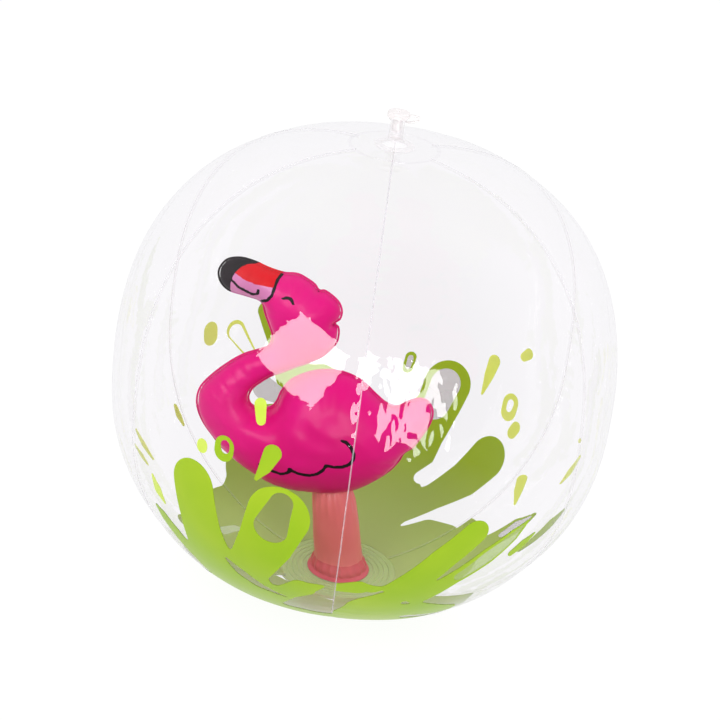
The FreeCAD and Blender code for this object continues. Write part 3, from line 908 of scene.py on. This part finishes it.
def zoned(patch, cells, bulge, lines_too):
    """(cell, ink) pairs. The drawing is lifted from the weld plane onto the bulge, as it is seen
    from a little above."""
    def cut(cells, field):
        return patch.cut(cells, lambda x, z: field(x, z - PRINT_RISE * bulge(x, z)))

    beak, pink = cut(cells, lambda x, z: outline_field(BEAK_ZONE, x, z))
    black, beak = cut(beak, lambda x, z: outline_field(BLACK_ZONE, x, z))
    red, rose = cut(beak, lambda x, z: outline_field(RED_ZONE, x, z))
    zones = [(black, BLACK_KIND)]
    for part, kind in ((pink, PINK_KIND), (rose, ROSE_KIND), (red, RED_KIND)):
        if lines_too:
            lines, part = cut(
                part, lambda x, z: joined(BLACK_LINES, x, z, LINE_FILLET) + LINE_EXTRA)
            zones.append((lines, BLACK_KIND))
        zones.append((part, kind))
    return [(cell, kind) for cells, kind in zones for cell in cells]


def puffed(x, z, bulge):
    """The bulge, with puckers beside the weld and creases where it is full."""
    depth = np.maximum(bird_field(x, z), 0)
    run = along_outline(x, z)
    wave = 0.5 + 0.5 * np.sin(2 * math.pi * run / BIRD_PUCKER_LENGTH)
    wave = wave * (0.6 + 0.4 * np.sin(run / 11.0))
    near = np.exp(-depth / BIRD_PUCKER_REACH) * (1 - np.exp(-depth / BIRD_PUCKER_START))
    crease = np.sin(x / 4.1 + 2.2 * np.sin(z / 9.0)) * np.sin(z / 5.3 + 1.8 * np.sin(x / 13.0))
    crease += 0.7 * np.sin((x + 2.0 * z) / 6.7 + 1.5 * np.sin((x - z) / 8.0))
    height = bulge(x, z)
    full = np.clip(height / CREASE_FROM, 0, 1)
    return np.maximum(height - BIRD_PUCKER * wave * near + CREASE * crease * full, 0.0)


def make_sheets(patch, zones, bulge):
    """Both sheets of the bird as one closed skin, whose halves meet at the weld."""
    x, z = patch.arrays()
    on_edge = np.abs(bird_field(x, z)) < ON_EDGE
    columns = np.stack([x, puffed(x, z, bulge), z, on_edge], -1)
    kept, numbered = compact(columns, [cell for cell, _ in zones])
    points = (kept[:, :3] * (1, -1, 1) * MM).tolist()
    behind = {}
    for number, (across, thick, up, shared) in enumerate(kept):
        behind[number] = number if shared else len(points)
        if not shared:
            points.append((across * MM, thick * MM, up * MM))
    faces, indices = [], []
    for cell, (_, kind) in zip(numbered, zones):
        faces += [cell, tuple(behind[i] for i in reversed(cell))]
        indices += [kind, kind]
    bird = make_mesh("flamingo", points, faces, [PINK, BLACK_INK, RED_INK, ROSE_INK], indices)
    smooth = bird.modifiers.new("smooth", "SUBSURF")
    smooth.levels = smooth.render_levels = 1
    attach(bird, "bird")
    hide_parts("bird_left_sheet", "bird_right_sheet")


def make_rim(patch, zones):
    """The flat weld round the bird, in the colours that it borders."""
    x, z = patch.arrays()
    kept, numbered = compact(np.stack([x, z], -1), [cell for cell, _ in zones])
    points, faces = [], []
    for side in (-RIM_THICK, RIM_THICK):
        start = len(points)
        points += [(across * MM, side * MM, up * MM) for across, up in kept]
        for cell in numbered:
            shifted = [start + i for i in cell]
            faces.append(tuple(shifted if side < 0 else reversed(shifted)))
    inks = [PINK_DEEP, BLACK_INK, RED_INK, ROSE_INK]
    indices = [kind for _, kind in zones] * 2
    rim = make_mesh("flamingo_weld", points, faces, inks, indices, smooth=False)
    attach(rim, "bird")


def make_bird():
    patch = Patchwork(BIRD_ACROSS, BIRD_ALONG, BIRD_STEP)
    x, z = patch.arrays()
    distance = bird_field(x, z).reshape(len(patch.ys), len(patch.xs))
    bulge = bulge_over(patch, membrane(distance, BIRD_STEP))
    body, outside = patch.cut(patch.cells, bird_field)
    rim, _ = patch.cut(outside, lambda x, z: bird_field(x, z) + RIM_WIDTH)
    body_zones = zoned(patch, body, bulge, lines_too=True)
    rim_zones = zoned(patch, rim, bulge, lines_too=False)
    make_sheets(patch, body_zones, bulge)
    make_rim(patch, rim_zones)


make_bird()

# ---------- leg
LEG_RADIUS = (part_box("leg_tube")[1].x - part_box("leg_tube")[0].x) / 2 / MM
FOOT_RADIUS = (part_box("leg_foot")[1].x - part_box("leg_foot")[0].x) / 2 / MM
LEG_LEAN = -12.0
LEG_LEAN_FROM = 4
LEG_TOP = 66.0
FOLDS_FROM = 2.5
FOLD_DEPTH = 0.55
FOLDS_ROUND = 17
WAVE_DEPTH = 0.3
WAVES_ROUND = 5
# Where the film gathers: (height, reach up and down, share of the full depth).
GATHERS = [(6, 5.0, 1.0), (56, 6.0, 0.8)]
# (height, radius, 1 where the film has the foot rim's colour)
LEG_PROFILE = [
    (0.8, FOOT_RADIUS, 1), (1.2, FOOT_RADIUS, 1), (1.9, FOOT_RADIUS - 0.8, 1),
    (2.4, FOOT_RADIUS - 2.6, 1), (3.0, LEG_RADIUS + 2.4, 1), (4.5, LEG_RADIUS + 2.8, 1),
    (6.5, LEG_RADIUS + 2.4, 1), (8.5, LEG_RADIUS + 1.1, 1), (10.5, LEG_RADIUS + 0.2, 0),
    (14, LEG_RADIUS, 0), (20, LEG_RADIUS, 0), (28, LEG_RADIUS - 0.2, 0),
    (36, LEG_RADIUS - 0.5, 0), (44, LEG_RADIUS - 0.9, 0), (50, LEG_RADIUS - 1.2, 0),
    (55, LEG_RADIUS - 1.8, 0), (60, LEG_RADIUS - 3.0, 0), (LEG_TOP, LEG_RADIUS - 6, 0),
]
LEG_TURNS = 96


def make_leg():
    points, indices = [], []
    for height, radius, rim in LEG_PROFILE:
        gather = sum(share * math.exp(-((height - place) / reach) ** 2)
                     for place, reach, share in GATHERS)
        lean = LEG_LEAN * max(0.0, height - LEG_LEAN_FROM) / LEG_TOP
        for k in range(LEG_TURNS):
            a = 2 * math.pi * k / LEG_TURNS
            fold = FOLD_DEPTH * gather * math.sin(a * FOLDS_ROUND + 0.8 * math.sin(3 * a))
            fold += WAVE_DEPTH * math.sin(a * WAVES_ROUND + height / 9.0) * math.sin(height / 8.0)
            r = radius + (fold if height > FOLDS_FROM else 0)
            points.append(((r * math.cos(a) + lean) * MM, r * math.sin(a) * MM, height * MM))
        indices += [rim] * LEG_TURNS
    faces = grid_faces(len(LEG_PROFILE), LEG_TURNS, closed=True)
    leg = make_mesh("leg", points, faces, [CORAL, CORAL_RIM], indices[:len(faces)])
    smooth = leg.modifiers.new("smooth", "SUBSURF")
    smooth.levels = smooth.render_levels = 1
    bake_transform(leg)
    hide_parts("leg_foot", "leg_tube")


make_leg()


# ---------- valves
def revolve(name, profile, material, turns=64):
    """A thin skin turned about Z from (radius, height) in millimetres."""
    points = []
    for radius, height in profile:
        for k in range(turns):
            a = 2 * math.pi * k / turns
            points.append((radius * math.cos(a) * MM, radius * math.sin(a) * MM, height * MM))
    return make_mesh(name, points, grid_faces(len(profile), turns, closed=True), [material])


def strap(name, line, width, thick, material):
    """A flat strap along a line of (x, z) points, with a rounded section."""
    points = []
    line = np.array(line, float)
    tangent = np.gradient(line, axis=0)
    tangent /= np.linalg.norm(tangent, axis=1, keepdims=True)
    section = [(0, -0.5), (0.35, -0.42), (0.5, 0), (0.35, 0.42), (0, 0.5),
               (-0.35, 0.42), (-0.5, 0), (-0.35, -0.42)]
    for (px, pz), (tx, tz) in zip(line, tangent):
        for out, across in section:
            points.append(((px - tz * out * thick) * MM, across * width * MM,
                           (pz + tx * out * thick) * MM))
    count = len(section)
    faces = grid_faces(len(line), count, closed=True)
    faces += [tuple(range(count))[::-1], tuple(range((len(line) - 1) * count, len(line) * count))]
    return make_mesh(name, points, faces, [material])


def eased(points, pieces=6):
    """Open Catmull-Rom curve through points."""
    p = np.array(points, float)
    p = np.vstack([2 * p[0] - p[1], p, 2 * p[-1] - p[-2]])
    made = []
    for a, b, c, d in zip(p, p[1:], p[2:], p[3:]):
        for t in np.linspace(0, 1, pieces, endpoint=False):
            made.append(0.5 * (2 * b + (c - a) * t + (2 * a - 5 * b + 4 * c - d) * t**2
                               + (3 * b - a - 3 * c + d) * t**3))
    made.append(p[-2])
    return np.array(made)


STRAP_WIDTH = 3.0
STRAP_THICK = 0.9
NECK_INSET = 2.4
NECK_RADIUS = 4.8


def make_valve(where, web_profile, up):
    """Web and strap of one valve. up is 1 for the top valve, and -1 for the base valve."""
    web = revolve(where + "_web", web_profile, SOFT_WEB)
    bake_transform(web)
    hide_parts(where + "_valve_web")
    strap_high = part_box(where + "_valve_strap")[1]
    plug_low, plug_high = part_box(where + "_valve_plug")
    stem_low, stem_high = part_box(where + "_valve_stem")
    head = (plug_high.z if up > 0 else plug_low.z) / MM
    neck = (stem_high.z if up > 0 else stem_low.z) / MM - up * NECK_INSET
    reach = strap_high.x / MM - 0.5
    wide = plug_high.x / MM
    if up > 0:
        line = [(wide - 0.4, head - 1.6), (reach - 1.5, head - 1.9), (reach, head - 3.6),
                (reach - 2.0, neck + 0.9), (NECK_RADIUS + 2.4, neck - 0.2),
                (NECK_RADIUS - 0.2, neck)]
    else:
        line = [(wide - 0.4, head + 2.6), (wide + 0.1, head + 4.2), (wide - 0.6, neck - 0.4),
                (NECK_RADIUS - 0.2, neck + 0.2)]
    tie = strap(where + "_strap", eased(line), STRAP_WIDTH, STRAP_THICK, WHITE_VINYL)
    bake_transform(tie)
    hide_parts(where + "_valve_strap")


FLANGE_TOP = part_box("top_valve_flange")[0].z / MM
TOP_STEM_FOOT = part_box("top_valve_stem")[0].z / MM
BASE_STEM_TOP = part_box("base_valve_stem")[1].z / MM
make_valve(
    "top",
    [(8.4, FLANGE_TOP + 0.75), (7.9, FLANGE_TOP + 0.9), (7.2, FLANGE_TOP + 1.5),
     (6.2, FLANGE_TOP + 2.9), (5.3, FLANGE_TOP + 4.4), (4.9, TOP_STEM_FOOT + 1.2),
     (4.72, TOP_STEM_FOOT + 1.3)],
    up=1)
make_valve(
    "base",
    [(8.3, PANEL_FOOT + 0.1), (7.8, PANEL_FOOT + 0.5), (7.7, PANEL_FOOT + 4),
     (7.7, PANEL_FOOT + 9), (7.6, BASE_STEM_TOP - 2.5), (7.0, BASE_STEM_TOP - 1.4),
     (5.6, BASE_STEM_TOP - 1.0), (4.72, BASE_STEM_TOP - 1.0)],
    up=-1)

# ---------- CAD nodes that stay in view
FINISHES = {
    "base_disc": DISC, "crown_disc": PATCH,
    "top_valve_flange": CLEAR_VINYL, "base_valve_flange": CLEAR_VINYL,
    "top_valve_stem": CLEAR_VINYL, "base_valve_stem": CLEAR_VINYL,
    "top_valve_plug": WHITE_VINYL, "base_valve_plug": WHITE_VINYL,
    "top_check_flap": WHITE_VINYL, "base_check_flap": WHITE_VINYL,
}
for node_name, finish in FINISHES.items():
    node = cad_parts[node_name]
    node.data.materials.clear()
    node.data.materials.append(finish)

# ---------- studio
FLOOR_HALF = 3.4
FLOOR_DROP = 0.0005
FLOOR_GLOW = 1.04
FLOOR_GLOW_SHARE = 0.9
DOME_RADIUS = 5000.0
DOME_ROWS = 32
DOME_FRONT = (0.1, 0.1, 0.104)
DOME_BACK = (0.95, 0.95, 0.96)
DOME_DIM_TO = 0.14
DOME_BRIGHT_FROM = 0.62


def make_floor():
    """A white floor, matt with a glow of its own, which mirror reflections don't see."""
    half, low = FLOOR_HALF, -FLOOR_DROP
    corners = [(-half, -half, low), (half, -half, low), (half, half, low), (-half, half, low)]
    material, tree, output = shader_nodes("floor_white")
    matt = tree.nodes.new("ShaderNodeBsdfDiffuse")
    shade = ramp(tree, noise(tree, scale=3.0), (0.86, 0.86, 0.86), (0.88, 0.88, 0.88))
    tree.links.new(shade, matt.inputs["Color"])
    lit = tree.nodes.new("ShaderNodeEmission")
    lit.inputs["Color"].default_value = (1, 1, 1, 1)
    lit.inputs["Strength"].default_value = FLOOR_GLOW
    surface = mixed(tree, FLOOR_GLOW_SHARE, matt.outputs[0], lit.outputs[0])
    tree.links.new(surface, output.inputs["Surface"])
    floor = make_mesh("floor", corners, [(0, 1, 2, 3)], [material], smooth=False)
    floor.visible_glossy = False


def make_world():
    """White all round, behind everything."""
    world = bpy.data.worlds.new("studio")
    bpy.context.scene.world = world
    world.use_nodes = True
    world.node_tree.nodes["Background"].inputs["Color"].default_value = (1, 1, 1, 1)


def make_dome():
    """A soft dome that lights the ball, dim in front of it and bright behind it."""
    material, tree, output = shader_nodes("dome_light")
    reach = DOME_RADIUS * MM
    colour = ramp(tree, by_place(tree, "Y", -reach, reach), DOME_FRONT, DOME_BACK,
                  DOME_DIM_TO, DOME_BRIGHT_FROM)
    glow = tree.nodes.new("ShaderNodeEmission")
    tree.links.new(colour, glow.inputs["Color"])
    tree.links.new(glow.outputs[0], output.inputs["Surface"])
    material.cycles.emission_sampling = "NONE"
    lifts = [-math.pi / 2 + math.pi * row / DOME_ROWS for row in range(DOME_ROWS + 1)]
    profile = [(DOME_RADIUS * math.cos(lift), DOME_RADIUS * math.sin(lift)) for lift in lifts]
    dome = revolve("dome", profile, material)
    dome.visible_camera = False


make_floor()
make_world()
make_dome()


def softbox(name, mark, azimuth, elevation, distance, width, height, radiance, for_gloss,
            roll=0.0):
    """A rectangular light that faces a mark on the ball from an azimuth and an elevation."""
    a, e = math.radians(azimuth), math.radians(elevation)
    away = Vector((math.sin(a) * math.cos(e), -math.cos(a) * math.cos(e), math.sin(e)))
    light = bpy.data.lights.new(name, "AREA")
    light.shape = "RECTANGLE"
    light.size, light.size_y = width, height
    light.energy = radiance * math.pi * width * height
    lamp = bpy.data.objects.new(name, light)
    lamp.location = Vector(mark) + away * distance
    turn = away.to_track_quat("Z", "Y") @ Quaternion((0, 0, 1), math.radians(roll))
    lamp.rotation_euler = turn.to_euler()
    lamp.visible_camera = False
    lamp.visible_diffuse = not for_gloss
    lamp.visible_glossy = for_gloss
    bpy.context.scene.collection.objects.link(lamp)


MIDDLE = (0, 0, 0.15)
softbox("box_left", (-0.033, -0.150, 0.222), azimuth=-24, elevation=17, distance=1.0,
        width=0.72, height=0.58, radiance=8.5, for_gloss=True, roll=-28)
softbox("box_right", (0.031, -0.156, 0.202), azimuth=18, elevation=3, distance=0.62,
        width=0.33, height=0.44, radiance=8.5, for_gloss=True)
softbox("key_left", MIDDLE, azimuth=-35, elevation=35, distance=1.7,
        width=1.3, height=1.3, radiance=3.3, for_gloss=False)
softbox("key_right", MIDDLE, azimuth=35, elevation=28, distance=1.7,
        width=1.3, height=1.3, radiance=3.0, for_gloss=False)

# ---------- camera
VIEW_TILT = math.radians(25.4)
VIEW_ROLL = math.radians(7.63)
VIEW_DISTANCE = 1.32
LENS = 99.65
SENSOR = 36.0
VIEW_SHIFT = (-0.003, 0.038)


def make_camera():
    """A camera in front of the ball, above its equator and rolled, that looks at its middle."""
    lens = bpy.data.cameras.new("camera")
    lens.lens = LENS
    lens.sensor_width = SENSOR
    lens.shift_x, lens.shift_y = VIEW_SHIFT
    camera = bpy.data.objects.new("camera", lens)
    bpy.context.scene.collection.objects.link(camera)
    back = Vector((0, -math.cos(VIEW_TILT), math.sin(VIEW_TILT)))
    side = Vector((1, 0, 0))
    above = Vector((0, math.sin(VIEW_TILT), math.cos(VIEW_TILT)))
    right = side * math.cos(VIEW_ROLL) + above * math.sin(VIEW_ROLL)
    up = above * math.cos(VIEW_ROLL) - side * math.sin(VIEW_ROLL)
    turned = Matrix((right, up, back)).transposed().to_4x4()
    turned.translation = Vector((0, 0, EQUATOR * MM)) + back * VIEW_DISTANCE
    camera.matrix_world = turned
    bpy.context.scene.camera = camera


make_camera()
bpy.context.scene.view_settings.view_transform = "Standard"
bpy.context.scene.cycles.transparent_max_bounces = 32
